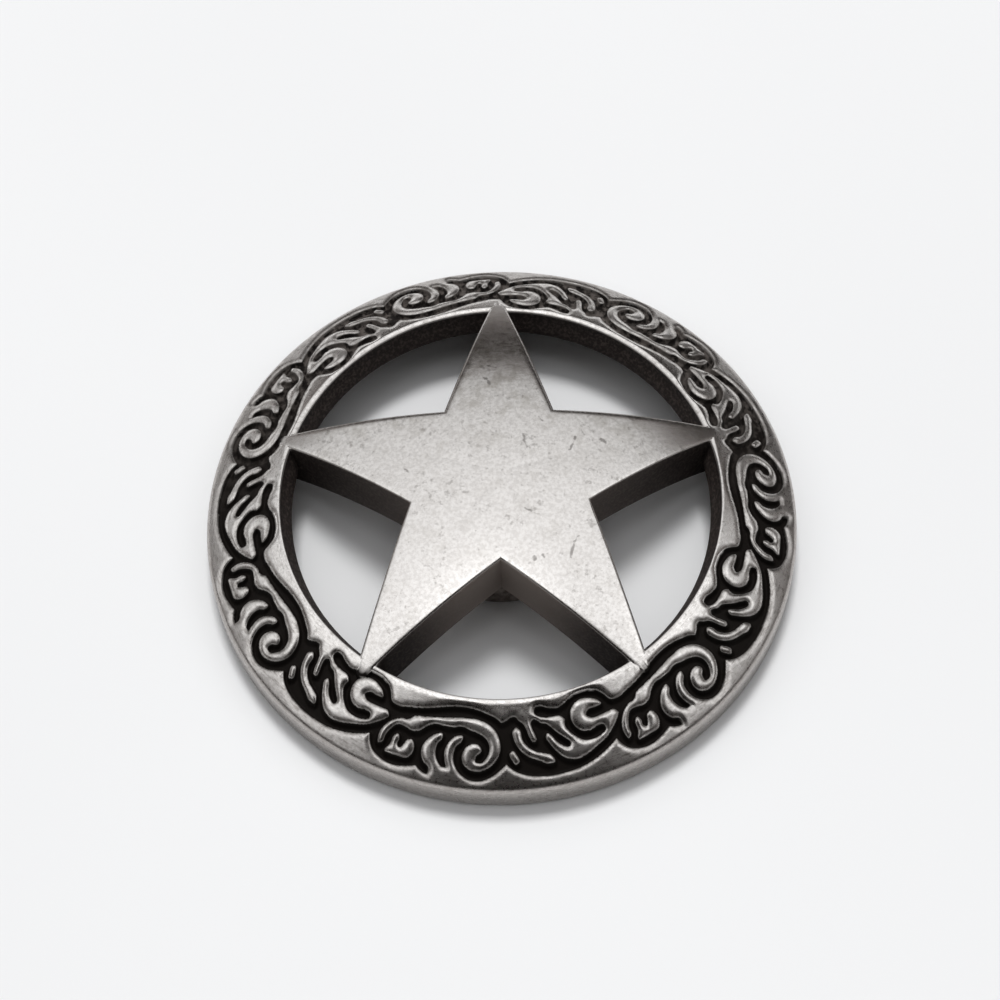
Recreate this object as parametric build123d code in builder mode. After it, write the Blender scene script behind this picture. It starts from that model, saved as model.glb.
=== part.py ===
from build123d import *
from math import cos, radians, sin, sqrt, tan
import os

os.makedirs("parts", exist_ok=True)

# A round, slightly domed concho: a ring with a cast scroll border, a five-pointed star across its
# opening, and a screw post behind the star. Millimetres. The origin is on the disc's axis, in the
# plane that the back rim rests on. +Z is the face's side, and one arm of the star points to +Y.

# Driving sizes
CONCHO_DIAMETER = 38.0
CROWN_HEIGHT = 8.2  # from the resting plane to the middle of the dome
DOME_RADIUS = 33.8  # the sphere that the whole face follows

# Ring
OPENING_DIAMETER = 28.0  # at the face
RING_WALL_HEIGHT = 1.75  # the wall round the opening
RING_WALL_DRAFT = 20.0  # degrees, the opening is narrower at the back
OPENING_BEVEL = 0.28
SHOULDER_RADIUS = 0.6  # between the face and the rim's side
BACK_EDGE_CHAMFER = 0.25
BACK_LAND_WIDTH = 1.05  # the flat that the ring rests on
BACK_LAND_SLOPE = 0.2  # how far the land's inner wall leans outwards

# Star
STAR_LINE_DISTANCE = 4.78  # from the axis to each edge line, at the height of the inner corners
STAR_TIP_RADIUS = 0.4  # the rounded tips, at the height of the ring's face
STAR_THICKNESS = 3.2
STAR_PROUD = 0.12  # how far the star's face stands over the ring's
STAR_DRAFT = 3.0  # degrees, the arms are wider at the back
ARM_COUNT = 5
ARM_HALF_ANGLE = 18.0

# Screw post
POST_DIAMETER = 10.4
POST_END_HEIGHT = 0.12  # how far the post's end stays over the resting plane
POST_SEAT_GAP = 0.05
POST_END_CHAMFER = 0.3
THREAD_BORE_RADIUS = 1.65  # the tapping hole of an M4 thread
THREAD_BORE_ROOF = 0.83  # metal left between the bore's end and the top of the post

# Scroll border
REPEAT_COUNT = 7
REPEAT_START = 174.18  # degrees, where one repeat's own zero lies
RELIEF_DEPTH = 0.45

# One repeat of the border is charted by hand. Columns: angle along the repeat in degrees, and
# radius as a share of the rim's radius. A row of an edge is one smooth curve, which runs on to
# the first point of the next row, and meets that row's curve at a corner.
OUTER_EDGE = {
    "long_lobe": [(-6.63, 0.922), (-5.2, 0.940), (-3.2, 0.953), (-0.5, 0.961), (4.0, 0.963),
                  (7.0, 0.960), (10.0, 0.951), (13.2, 0.935)],
    "short_lobe": [(16.2, 0.914), (16.8, 0.933), (17.8, 0.951), (19.6, 0.965), (22.2, 0.972),
                   (24.6, 0.966)],
    "tick": [(27.0, 0.954), (28.2, 0.966), (29.6, 0.969), (29.7, 0.957)],
    "first_crescent": [(28.6, 0.942), (27.6, 0.920), (27.5, 0.897), (28.3, 0.874), (29.6, 0.857),
                       (31.1, 0.852), (31.2, 0.865), (30.4, 0.882), (30.3, 0.904), (30.9, 0.927)],
    "slot_end": [(32.0, 0.943)],
    "second_crescent": [(33.1, 0.943), (32.4, 0.920), (32.2, 0.893), (32.9, 0.868), (34.1, 0.852),
                        (35.6, 0.851), (35.4, 0.864), (34.3, 0.882), (34.0, 0.906)],
    "spiral_lobe": [(34.6, 0.935), (35.7, 0.954), (37.4, 0.968), (39.6, 0.970), (41.6, 0.959),
                    (43.3, 0.941)],
}
INNER_EDGE = {
    "short_leaf": [(-7.6, 0.806), (-6.4, 0.800), (-5.3, 0.791), (-4.4, 0.790), (-3.6, 0.801),
                   (-2.6, 0.812), (-2.0, 0.830), (-1.5, 0.851), (-0.8, 0.866), (-0.1, 0.862),
                   (-0.3, 0.846), (-0.8, 0.826), (-0.9, 0.809), (-0.2, 0.802), (0.6, 0.806),
                   (1.3, 0.815), (2.4, 0.819)],
    "leaf_back": [(3.3, 0.829), (4.7, 0.851), (6.2, 0.871), (7.0, 0.885), (6.5, 0.895),
                  (5.2, 0.888), (4.0, 0.873), (3.1, 0.854), (2.4, 0.847), (2.0, 0.856),
                  (2.7, 0.878), (3.8, 0.902), (5.2, 0.922), (7.4, 0.933), (9.8, 0.927),
                  (12.2, 0.913), (14.6, 0.899), (16.6, 0.879)],
    "curl": [(18.7, 0.851), (18.2, 0.838), (15.4, 0.836), (12.6, 0.834), (11.6, 0.823),
             (12.5, 0.810), (14.4, 0.809), (15.8, 0.806), (15.3, 0.794), (13.7, 0.781),
             (11.6, 0.775), (9.7, 0.782), (8.5, 0.799), (8.2, 0.823), (8.8, 0.847),
             (10.0, 0.862), (11.7, 0.867), (13.6, 0.861), (14.8, 0.865), (14.9, 0.877),
             (13.7, 0.888), (11.6, 0.893), (9.7, 0.888), (8.3, 0.873), (7.2, 0.855),
             (6.5, 0.836)],
    "curl_groove": [(6.8, 0.819), (6.2, 0.808), (3.6, 0.803), (1.2, 0.797), (0.1, 0.785),
                    (0.4, 0.770), (1.6, 0.767), (3.6, 0.776), (5.8, 0.781), (7.5, 0.773),
                    (9.3, 0.760), (11.6, 0.754), (14.0, 0.757), (16.0, 0.768), (17.2, 0.786),
                    (18.1, 0.805), (19.8, 0.810)],
    "spiral_groove": [(22.0, 0.804), (25.0, 0.796), (28.5, 0.783), (32.0, 0.771), (35.0, 0.767),
                      (38.0, 0.771), (41.0, 0.783), (42.7, 0.793)],
}
ISLANDS = {
    "arch": [(46.4, 0.828), (47.2, 0.821), (47.9, 0.829), (48.3, 0.856), (49.4, 0.878),
             (51.0, 0.893), (52.6, 0.900), (53.8, 0.907), (54.5, 0.927), (53.4, 0.931),
             (51.4, 0.918), (49.4, 0.905), (47.7, 0.884), (46.6, 0.855)],
    "bar": [(45.5, 0.893), (46.2, 0.886), (46.8, 0.895), (47.4, 0.917), (46.7, 0.924),
            (46.0, 0.912)],
    "hooks": [(20.3, 0.941), (22.8, 0.943), (25.3, 0.937), (25.8, 0.922), (25.7, 0.900),
              (25.1, 0.889), (24.1, 0.892), (23.6, 0.908), (22.9, 0.921), (22.3, 0.914),
              (22.4, 0.897), (21.9, 0.885), (21.2, 0.892), (21.0, 0.916)],
    "spiral": [(18.6, 0.928), (19.3, 0.921), (19.4, 0.901), (20.1, 0.878), (21.3, 0.859),
               (22.8, 0.859), (24.4, 0.864), (26.1, 0.858), (27.4, 0.841), (29.2, 0.828),
               (31.2, 0.829), (33.0, 0.829), (35.0, 0.823), (37.2, 0.831), (39.4, 0.841),
               (40.8, 0.855), (41.4, 0.879), (40.9, 0.903), (39.6, 0.921), (38.5, 0.917),
               (38.7, 0.902), (39.7, 0.886), (39.2, 0.872), (37.7, 0.869), (36.4, 0.881),
               (35.8, 0.903), (36.2, 0.926), (37.5, 0.940), (39.4, 0.943), (41.4, 0.931),
               (42.9, 0.908), (43.6, 0.879), (43.3, 0.849), (41.9, 0.820), (39.6, 0.803),
               (36.6, 0.797), (32.8, 0.802), (29.0, 0.810), (26.0, 0.817), (24.2, 0.823),
               (23.2, 0.836), (21.4, 0.841), (19.8, 0.854), (18.5, 0.878), (18.1, 0.907)],
}

# Worked out from the sizes above
rim_radius = CONCHO_DIAMETER / 2
opening_radius = OPENING_DIAMETER / 2
dome_centre = (0, 0, CROWN_HEIGHT - DOME_RADIUS)
repeat_turns = [REPEAT_START + repeat * 360 / REPEAT_COUNT for repeat in range(REPEAT_COUNT)]


def height_on(sphere_radius, radius):
    """Height over the resting plane of a sphere round the dome's centre, at a radius."""
    return dome_centre[2] + sqrt(sphere_radius**2 - radius**2)


def chart_point(turn, angle, share):
    """A point of the chart on the disc, for the repeat that starts at an angle."""
    at = radians(turn + angle)
    return (share * rim_radius * cos(at), share * rim_radius * sin(at))


def ring_of_curves(edge):
    """One closed line round the disc, made of the same charted curves in every repeat."""
    curves = []
    for turn in repeat_turns:
        for points in edge.values():
            curves.append([chart_point(turn, angle, share) for angle, share in points])
    for curve, following in zip(curves, curves[1:] + curves[:1]):
        Spline(*curve, following[0])


# The recesses between the raised scrolls, as one body that is taken out of the ring's face
with BuildPart() as recesses:
    with BuildSketch() as border:
        with BuildLine():
            ring_of_curves(OUTER_EDGE)
        make_face()
        with BuildLine():
            ring_of_curves(INNER_EDGE)
        make_face(mode=Mode.SUBTRACT)
        for turn in repeat_turns:
            for points in ISLANDS.values():
                with BuildLine():
                    Spline(*[chart_point(turn, *point) for point in points], periodic=True)
                make_face(mode=Mode.SUBTRACT)
    extrude(amount=CROWN_HEIGHT)
    with Locations(dome_centre):
        Sphere(DOME_RADIUS - RELIEF_DEPTH, mode=Mode.SUBTRACT)

# The star, wider at the back, between its domed face and its hollow back
corner_height = height_on(DOME_RADIUS, STAR_LINE_DISTANCE / cos(radians(2 * ARM_HALF_ANGLE)))
tip_height = height_on(DOME_RADIUS, opening_radius)
line_distance = STAR_LINE_DISTANCE + corner_height * tan(radians(STAR_DRAFT))
tip_radius = STAR_TIP_RADIUS + tip_height * tan(radians(STAR_DRAFT))
tip_centre = (line_distance - tip_radius) / sin(radians(ARM_HALF_ANGLE))
corner_radius = line_distance / cos(radians(2 * ARM_HALF_ANGLE))

with BuildPart() as star_blank:
    with BuildSketch() as star_outline:
        with BuildLine():
            for arm in range(ARM_COUNT):
                along = 90 + arm * 360 / ARM_COUNT
                centre = Vector(tip_centre, 0).rotate(Axis.Z, along)
                side = 90 - ARM_HALF_ANGLE
                before = centre + Vector(tip_radius, 0).rotate(Axis.Z, along - side)
                middle = centre + Vector(tip_radius, 0).rotate(Axis.Z, along)
                after = centre + Vector(tip_radius, 0).rotate(Axis.Z, along + side)
                corner_before = Vector(corner_radius, 0).rotate(Axis.Z, along - 2 * ARM_HALF_ANGLE)
                corner_after = Vector(corner_radius, 0).rotate(Axis.Z, along + 2 * ARM_HALF_ANGLE)
                Line(corner_before, before)
                ThreePointArc(before, middle, after)
                Line(after, corner_after)
        make_face()
    extrude(amount=CROWN_HEIGHT + STAR_PROUD, taper=STAR_DRAFT)
    with Locations(dome_centre):
        Sphere(DOME_RADIUS + STAR_PROUD, mode=Mode.INTERSECT)
        Sphere(DOME_RADIUS - STAR_THICKNESS, mode=Mode.SUBTRACT)

# The casting: ring, star and raised scrolls are one piece of metal
wall_foot_radius = opening_radius - RING_WALL_HEIGHT * tan(radians(RING_WALL_DRAFT))
wall_foot_height = tip_height - RING_WALL_HEIGHT
back_radius = sqrt(wall_foot_radius**2 + (wall_foot_height - dome_centre[2]) ** 2)
land_inner_radius = rim_radius - BACK_EDGE_CHAMFER - BACK_LAND_WIDTH
hollow_radius = land_inner_radius - BACK_LAND_SLOPE


def arc_on(sphere_radius, start_radius, end_radius):
    """Part of a sphere's section, between two radii."""
    stops = [start_radius, (start_radius + end_radius) / 2, end_radius]
    ThreePointArc(*[(stop, height_on(sphere_radius, stop)) for stop in stops])


with BuildPart() as concho_casting:
    with BuildSketch(Plane.XZ):
        with BuildLine():
            arc_on(DOME_RADIUS, opening_radius, rim_radius)
            Polyline(
                (rim_radius, height_on(DOME_RADIUS, rim_radius)),
                (rim_radius, BACK_EDGE_CHAMFER),
                (rim_radius - BACK_EDGE_CHAMFER, 0),
                (land_inner_radius, 0),
                (hollow_radius, height_on(back_radius, hollow_radius)),
            )
            arc_on(back_radius, hollow_radius, wall_foot_radius)
            Line((wall_foot_radius, wall_foot_height), (opening_radius, tip_height))
        ring_section = make_face()
        by_height = ring_section.vertices().sort_by(Axis.Z)
        chamfer(by_height[-1], OPENING_BEVEL)
        rim_corner = ring_section.vertices().group_by(Axis.X)[-1].sort_by(Axis.Z)[-1]
        fillet(rim_corner, SHOULDER_RADIUS)
    revolve(axis=Axis.Z)
    add(star_blank.part)
    add(recesses.part, mode=Mode.SUBTRACT)

concho_casting.part.label = "concho_casting"
export_step(concho_casting.part, "parts/concho_casting.step")

# The post behind the star's middle, bored for the screw that holds the concho on
seat_radius = DOME_RADIUS - STAR_THICKNESS - POST_SEAT_GAP
post_length = height_on(seat_radius, 0) - POST_END_HEIGHT

with BuildPart() as screw_post:
    with BuildSketch(Plane.XY.offset(POST_END_HEIGHT)):
        Circle(POST_DIAMETER / 2)
    extrude(amount=CROWN_HEIGHT)
    with Locations(dome_centre):
        Sphere(seat_radius, mode=Mode.INTERSECT)
    post_end = screw_post.faces().sort_by(Axis.Z)[0]
    chamfer(post_end.edges(), POST_END_CHAMFER)
    with Locations(Plane(origin=(0, 0, POST_END_HEIGHT), z_dir=(0, 0, -1))):
        Hole(THREAD_BORE_RADIUS, depth=post_length - THREAD_BORE_ROOF)

screw_post.part.label = "screw_post"
export_step(screw_post.part, "parts/screw_post.step")

for piece in (concho_casting, screw_post):
    print(piece.part.label, "volume", round(piece.part.volume, 2), "mm3")
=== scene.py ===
# %% [markdown]
# # A cast concho with a five-pointed star
# This lesson dresses a packed CAD model of a concho, the round metal ornament that a screw holds on
# a leather strap. The packed model is loaded as a fixed frame. Everything below is in metres, in
# the CAD's own axes: the origin is on the disc's axis where it touches the table, and +Z comes out
# of the face.

# %% Load the packed model
from math import atan2, cos, hypot, pi, radians, sin, sqrt, tan

import bpy
import numpy as np
from mathutils import Matrix, Vector


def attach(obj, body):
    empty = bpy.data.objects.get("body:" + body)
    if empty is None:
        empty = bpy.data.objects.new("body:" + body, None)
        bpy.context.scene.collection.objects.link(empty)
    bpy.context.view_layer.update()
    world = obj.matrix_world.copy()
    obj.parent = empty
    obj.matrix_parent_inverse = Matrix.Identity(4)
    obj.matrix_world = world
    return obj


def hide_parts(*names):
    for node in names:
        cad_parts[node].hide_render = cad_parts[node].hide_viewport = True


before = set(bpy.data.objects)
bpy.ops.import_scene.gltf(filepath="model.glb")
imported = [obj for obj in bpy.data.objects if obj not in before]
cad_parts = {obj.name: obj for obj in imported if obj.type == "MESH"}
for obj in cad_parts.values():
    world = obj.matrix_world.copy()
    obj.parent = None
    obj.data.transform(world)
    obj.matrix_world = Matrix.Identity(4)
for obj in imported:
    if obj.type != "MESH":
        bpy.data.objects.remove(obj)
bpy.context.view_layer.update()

print("CAD nodes:", sorted(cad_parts))

# %% [markdown]
# ## The sizes that the finish has to follow
# The visual model stands for the same solids, so it repeats their main sizes. They are written in
# millimetres, as on a drawing, and MM turns them into Blender's metres.

# %% Sizes of the concho
MM = 0.001
RIM_RADIUS = 19.0
OPENING_RADIUS = 14.0
DOME_RADIUS = 33.8
DOME_CENTRE_Z = -25.6  # the centre of the sphere that the whole face follows
RELIEF_DEPTH = 0.45
REPEAT_COUNT = 7
REPEAT_START = 174.18  # degrees, where one repeat's own zero lies
REPEAT_TURN = 360 / REPEAT_COUNT


def height_on(sphere_radius, radius):
    """Height in millimetres of a sphere round the dome's centre."""
    return DOME_CENTRE_Z + np.sqrt(sphere_radius**2 - np.square(radius))


def share_between(value, low, high):
    """How far a value lies on the way from low to high, as a share from 0 to 1."""
    return np.clip((value - low) / (high - low), 0, 1)


print("crown height:", round(float(height_on(DOME_RADIUS, 0)), 2), "mm")

# %% [markdown]
# ## Camera
# The photograph looks down at the disc from its front, at about 61 degrees above the table, from
# 152 mm away. The camera could be turned by three angles. Here its axes are put straight into its
# matrix, which keeps the small roll of a hand-held camera exact.

# %% Camera
VIEW_ELEVATION = radians(61.36)
VIEW_ROLL = radians(-2.23)
VIEW_TURN = radians(1.3)
VIEW_DISTANCE = 152.0
VIEW_LEFT = 0.038  # small shifts, as fitted to the photograph
VIEW_DOWN = 0.266
LOOK_AT_Z = 5.1
camera_data = bpy.data.cameras.new("photo_camera")
camera_data.sensor_width = 36
camera_data.lens = 86.29
camera_data.clip_start = 0.01
camera_data.clip_end = 10
camera = bpy.data.objects.new("photo_camera", camera_data)
bpy.context.scene.collection.objects.link(camera)
turn = Matrix.Rotation(VIEW_TURN, 3, "Z")
backward = turn @ Vector((0, -cos(VIEW_ELEVATION), sin(VIEW_ELEVATION)))
level_right = turn @ Vector((1, 0, 0))
level_up = backward.cross(level_right)
right = level_right * cos(VIEW_ROLL) + level_up * sin(VIEW_ROLL)
up = level_up * cos(VIEW_ROLL) - level_right * sin(VIEW_ROLL)
stand = Vector((0, 0, LOOK_AT_Z)) + backward * VIEW_DISTANCE
stand = stand - level_right * VIEW_LEFT - level_up * VIEW_DOWN
camera.matrix_world = Matrix.Translation(stand * MM) @ Matrix((right, up, backward)).transposed().to_4x4()
bpy.context.scene.camera = camera
print("camera stands at", [round(c, 4) for c in camera.matrix_world.translation])

# %% [markdown]
# ## Helpers for node trees
# Every finish is a tree of nodes that reads the place of a point, so it needs no picture. It could
# be wired by hand in the Shader Editor. In a script a small class keeps it short: it adds a node,
# feeds its sockets and hands back its output.


# %% Helpers for node trees
class NodeTree:
    """The nodes of a material or of the world. Most methods hand back an output socket."""

    def __init__(self, owner):
        owner.use_nodes = True
        self.tree = owner.node_tree

    def feed(self, socket, value):
        """Links another node's output to a socket, or sets the socket to a plain value."""
        if isinstance(value, bpy.types.NodeSocket):
            self.tree.links.new(value, socket)
        else:
            socket.default_value = value

    def add(self, kind, inputs=None, **settings):
        """Adds one node with its settings and feeds its sockets."""
        node = self.tree.nodes.new("ShaderNode" + kind)
        for name, value in settings.items():
            setattr(node, name, value)
        for key, value in (inputs or {}).items():
            self.feed(node.inputs[key], value)
        return node

    def maths(self, operation, first, *others):
        """One kind of arithmetic that takes in one value after another."""
        for value in others:
            first = self.add("Math", {0: first, 1: value}, operation=operation).outputs[0]
        return first

    def vectors(self, operation, first, second=(0, 0, 0)):
        """A step between two vectors. Distances, lengths and dot products come out as one value."""
        node = self.add("VectorMath", {0: first, 1: second}, operation=operation)
        one_value = operation in ("DISTANCE", "LENGTH", "DOT_PRODUCT")
        return node.outputs["Value" if one_value else "Vector"]

    def ramp(self, value, low, high, low_to=0.0, high_to=1.0, kind="SMOOTHSTEP"):
        """A value brought from one range to another, held at both ends."""
        ranges = {"Value": value, "From Min": low, "From Max": high, "To Min": low_to, "To Max": high_to}
        return self.add("MapRange", ranges, interpolation_type=kind).outputs["Result"]

    def zone(self, length, low, high, low_to=0.0, high_to=1.0):
        """The ramp of a length, with its range in millimetres."""
        return self.ramp(length, low * MM, high * MM, low_to, high_to)

    def mix(self, factor, first, second):
        """Two colours mixed by a factor."""
        return self.add("Mix", {0: factor, 6: first, 7: second}, data_type="RGBA").outputs[2]

    def noise(self, place, scale, detail, roughness=0.5, output="Fac"):
        """Cloudy noise. The larger the scale, the finer the clouds."""
        inputs = {"Vector": place, "Scale": scale, "Detail": detail, "Roughness": roughness}
        return self.add("TexNoise", inputs).outputs[output]

    def object_place(self):
        """The place of a point on the object itself."""
        return self.add("TexCoord").outputs["Object"]


def new_material(name):
    """A new material, its nodes and its shader."""
    material = bpy.data.materials.new(name)
    nodes = NodeTree(material)
    return material, nodes, material.node_tree.nodes["Principled BSDF"]


print("helpers:", [name for name in vars(NodeTree) if not name.startswith("_")])

# %% [markdown]
# ## Floor
# The photographed concho lies on a plain white table. A plane that runs out of the picture is
# enough for it. Its white is slightly cloudy, because an even one would look like no table at all.

# %% Floor
FLOOR_SIZE = 3.0
bpy.ops.mesh.primitive_plane_add(size=FLOOR_SIZE, location=(0, 0, 0))
floor = bpy.context.object
floor.name = "white_table"
table_white, nodes, shader = new_material("white_table")
cloudy = nodes.ramp(nodes.noise(nodes.object_place(), 9, 2), 0.3, 0.7)
white = nodes.mix(cloudy, (0.796, 0.80, 0.804, 1), (0.82585, 0.83, 0.83415, 1))
nodes.feed(shader.inputs["Base Color"], white)
shader.inputs["Roughness"].default_value = 0.42
shader.inputs["Specular IOR Level"].default_value = 0.35
floor.data.materials.append(table_white)
print("floor:", FLOOR_SIZE, "m wide")

# %% [markdown]
# ## Light
# A soft window stands above and behind the concho, and a weak fill on the camera's side lifts the
# deepest shade. Polished metal would show each lamp as a bright square, so both are hidden from
# reflections. They light the table and the dull walls, and the metal mirrors only the room.

# %% Lights
LIGHT_DISTANCE = 0.8
LIGHTS = {  # azimuth and elevation in degrees, width in metres, watts
    "window": (-2, 69, 0.20, 3.20),
    "fill": (176, 52, 0.25, 0.22),
}


def toward(azimuth, elevation):
    """A direction from the concho: azimuth 0 is behind it, 90 is on its right."""
    a, e = radians(azimuth), radians(elevation)
    return Vector((sin(a) * cos(e), cos(a) * cos(e), sin(e)))


for name, (azimuth, elevation, width, watts) in LIGHTS.items():
    lamp = bpy.data.lights.new(name, "AREA")
    lamp.size = width
    lamp.energy = watts
    light = bpy.data.objects.new(name, lamp)
    bpy.context.scene.collection.objects.link(light)
    light.location = toward(azimuth, elevation) * LIGHT_DISTANCE
    light.rotation_mode = "QUATERNION"
    light.rotation_quaternion = toward(azimuth, elevation).to_track_quat("Z", "Y")
    light.visible_glossy = False
bpy.context.scene.view_settings.view_transform = "Standard"
bpy.context.scene.view_settings.look = "Medium High Contrast"
print("lights:", sorted(LIGHTS))

# %% [markdown]
# ## The room that the metal mirrors
# On polished metal the reflection is most of the look. The star mirrors a bright ceiling, the left
# and right of the ring mirror pale walls, and the front of the ring mirrors the dark side of the
# room, where the camera stands. A photographed room would do, but soft patches in the world's nodes
# can be placed where the photograph's reflections ask for them.

# %% The room around the table
DIM = 0.035
PALE_WALLS = [  # azimuth, elevation, narrowness and strength of each patch
    (205, 79, 32, 0.47), (0, 2, 80, 0.24), (-60, 16, 9, 0.26), (86, 36, 12, 0.24),
    (180, 2, 8, 0.045), (-104, 42, 20, 0.28), (106, 42, 20, 0.26),
]
CAMERA_SIDE = toward(178, 43)
CAMERA_SIDE_EDGES = (radians(37), radians(26.5))
world = bpy.data.worlds.new("room")
bpy.context.scene.world = world
nodes = NodeTree(world)
looking = nodes.add("TexCoord").outputs["Generated"]
axes = nodes.add("SeparateXYZ", {0: looking}).outputs
tilted = nodes.maths("SUBTRACT", axes["Z"], nodes.maths("MULTIPLY", axes["X"], 0.12))
ceiling_edge = nodes.ramp(tilted, 0.44, 0.57, 0.0, 0.31)
ceiling = nodes.ramp(axes["Z"], 0.41, 1.0, 0.0, 0.41, kind="LINEAR")
room = nodes.maths("ADD", DIM, ceiling_edge, ceiling)
for azimuth, elevation, narrowness, strength in PALE_WALLS:
    facing = nodes.vectors("DOT_PRODUCT", looking, toward(azimuth, elevation))
    patch = nodes.maths("POWER", nodes.maths("MAXIMUM", facing, 0.0), narrowness)
    room = nodes.maths("ADD", room, nodes.maths("MULTIPLY", patch, strength))
facing = nodes.vectors("DOT_PRODUCT", looking, CAMERA_SIDE)
shade = nodes.ramp(facing, *map(cos, CAMERA_SIDE_EDGES), 1.0, 0.05)
room = nodes.maths("MULTIPLY", room, shade)
tint = nodes.mix(nodes.ramp(room, 0.08, 0.34), (1.08, 0.985, 0.95, 1), (0.985, 0.99, 1.0, 1))
background = world.node_tree.nodes["Background"]
nodes.feed(background.inputs["Color"], tint)
nodes.feed(background.inputs["Strength"], room)
print("room:", len(PALE_WALLS), "pale patches in", len(world.node_tree.nodes), "nodes")

# %% [markdown]
# ## The scroll border's chart
# The cast border repeats seven times. Its outline could be traced as a curve in the viewport, but a
# table is easier to check and to mend. One repeat is charted: each point is an angle along the
# repeat in degrees and a share of the rim's radius. A row of an edge runs on to the first point of
# the next row. The islands are strokes that stand alone in the recess.

# %% Chart of one repeat
OUTER_EDGE = {
    "long_lobe": [
        (-6.63, 0.922), (-5.2, 0.940), (-3.2, 0.953), (-0.5, 0.961), (4.0, 0.963), (7.0, 0.960),
        (10.0, 0.951), (13.2, 0.935),
    ],
    "short_lobe": [
        (16.2, 0.914), (16.8, 0.933), (17.8, 0.951), (19.6, 0.965), (22.2, 0.972), (24.6, 0.966),
    ],
    "tick": [(27.0, 0.954), (28.2, 0.966), (29.6, 0.969), (29.7, 0.957)],
    "first_crescent": [
        (28.6, 0.942), (27.6, 0.920), (27.5, 0.897), (28.3, 0.874), (29.6, 0.857), (31.1, 0.852),
        (31.2, 0.865), (30.4, 0.882), (30.3, 0.904), (30.9, 0.927),
    ],
    "slot_end": [(32.0, 0.943)],
    "second_crescent": [
        (33.1, 0.943), (32.4, 0.920), (32.2, 0.893), (32.9, 0.868), (34.1, 0.852), (35.6, 0.851),
        (35.4, 0.864), (34.3, 0.882), (34.0, 0.906),
    ],
    "spiral_lobe": [
        (34.6, 0.935), (35.7, 0.954), (37.4, 0.968), (39.6, 0.970), (41.6, 0.959), (43.3, 0.941),
    ],
}
INNER_EDGE = {
    "short_leaf": [
        (-7.6, 0.806), (-6.4, 0.800), (-5.3, 0.791), (-4.4, 0.790), (-3.6, 0.801), (-2.6, 0.812),
        (-2.0, 0.830), (-1.5, 0.851), (-0.8, 0.866), (-0.1, 0.862), (-0.3, 0.846), (-0.8, 0.826),
        (-0.9, 0.809), (-0.2, 0.802), (0.6, 0.806), (1.3, 0.815), (2.4, 0.819),
    ],
    "leaf_back": [
        (3.3, 0.829), (4.7, 0.851), (6.2, 0.871), (7.0, 0.885), (6.5, 0.895), (5.2, 0.888),
        (4.0, 0.873), (3.1, 0.854), (2.4, 0.847), (2.0, 0.856), (2.7, 0.878), (3.8, 0.902),
        (5.2, 0.922), (7.4, 0.933), (9.8, 0.927), (12.2, 0.913), (14.6, 0.899), (16.6, 0.879),
    ],
    "curl": [
        (18.7, 0.851), (18.2, 0.838), (15.4, 0.836), (12.6, 0.834), (11.6, 0.823), (12.5, 0.810),
        (14.4, 0.809), (15.8, 0.806), (15.3, 0.794), (13.7, 0.781), (11.6, 0.775), (9.7, 0.782),
        (8.5, 0.799), (8.2, 0.823), (8.8, 0.847), (10.0, 0.862), (11.7, 0.867), (13.6, 0.861),
        (14.8, 0.865), (14.9, 0.877), (13.7, 0.888), (11.6, 0.893), (9.7, 0.888), (8.3, 0.873),
        (7.2, 0.855), (6.5, 0.836),
    ],
    "curl_groove": [
        (6.8, 0.819), (6.2, 0.808), (3.6, 0.803), (1.2, 0.797), (0.1, 0.785), (0.4, 0.770),
        (1.6, 0.767), (3.6, 0.776), (5.8, 0.781), (7.5, 0.773), (9.3, 0.760), (11.6, 0.754),
        (14.0, 0.757), (16.0, 0.768), (17.2, 0.786), (18.1, 0.805), (19.8, 0.810),
    ],
    "spiral_groove": [
        (22.0, 0.804), (25.0, 0.796), (28.5, 0.783), (32.0, 0.771), (35.0, 0.767), (38.0, 0.771),
        (41.0, 0.783), (42.7, 0.793),
    ],
}
ISLANDS = {
    "arch": [
        (46.4, 0.828), (47.2, 0.821), (47.9, 0.829), (48.3, 0.856), (49.4, 0.878), (51.0, 0.893),
        (52.6, 0.900), (53.8, 0.907), (54.5, 0.927), (53.4, 0.931), (51.4, 0.918), (49.4, 0.905),
        (47.7, 0.884), (46.6, 0.855),
    ],
    "bar": [(45.5, 0.893), (46.2, 0.886), (46.8, 0.895), (47.4, 0.917), (46.7, 0.924), (46.0, 0.912)],
    "hooks": [
        (20.3, 0.941), (22.8, 0.943), (25.3, 0.937), (25.8, 0.922), (25.7, 0.900), (25.1, 0.889),
        (24.1, 0.892), (23.6, 0.908), (22.9, 0.921), (22.3, 0.914), (22.4, 0.897), (21.9, 0.885),
        (21.2, 0.892), (21.0, 0.916),
    ],
    "spiral": [
        (18.6, 0.928), (19.3, 0.921), (19.4, 0.901), (20.1, 0.878), (21.3, 0.859), (22.8, 0.859),
        (24.4, 0.864), (26.1, 0.858), (27.4, 0.841), (29.2, 0.828), (31.2, 0.829), (33.0, 0.829),
        (35.0, 0.823), (37.2, 0.831), (39.4, 0.841), (40.8, 0.855), (41.4, 0.879), (40.9, 0.903),
        (39.6, 0.921), (38.5, 0.917), (38.7, 0.902), (39.7, 0.886), (39.2, 0.872), (37.7, 0.869),
        (36.4, 0.881), (35.8, 0.903), (36.2, 0.926), (37.5, 0.940), (39.4, 0.943), (41.4, 0.931),
        (42.9, 0.908), (43.6, 0.879), (43.3, 0.849), (41.9, 0.820), (39.6, 0.803), (36.6, 0.797),
        (32.8, 0.802), (29.0, 0.810), (26.0, 0.817), (24.2, 0.823), (23.2, 0.836), (21.4, 0.841),
        (19.8, 0.854), (18.5, 0.878), (18.1, 0.907),
    ],
}
tables = (OUTER_EDGE, INNER_EDGE, ISLANDS)
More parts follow.
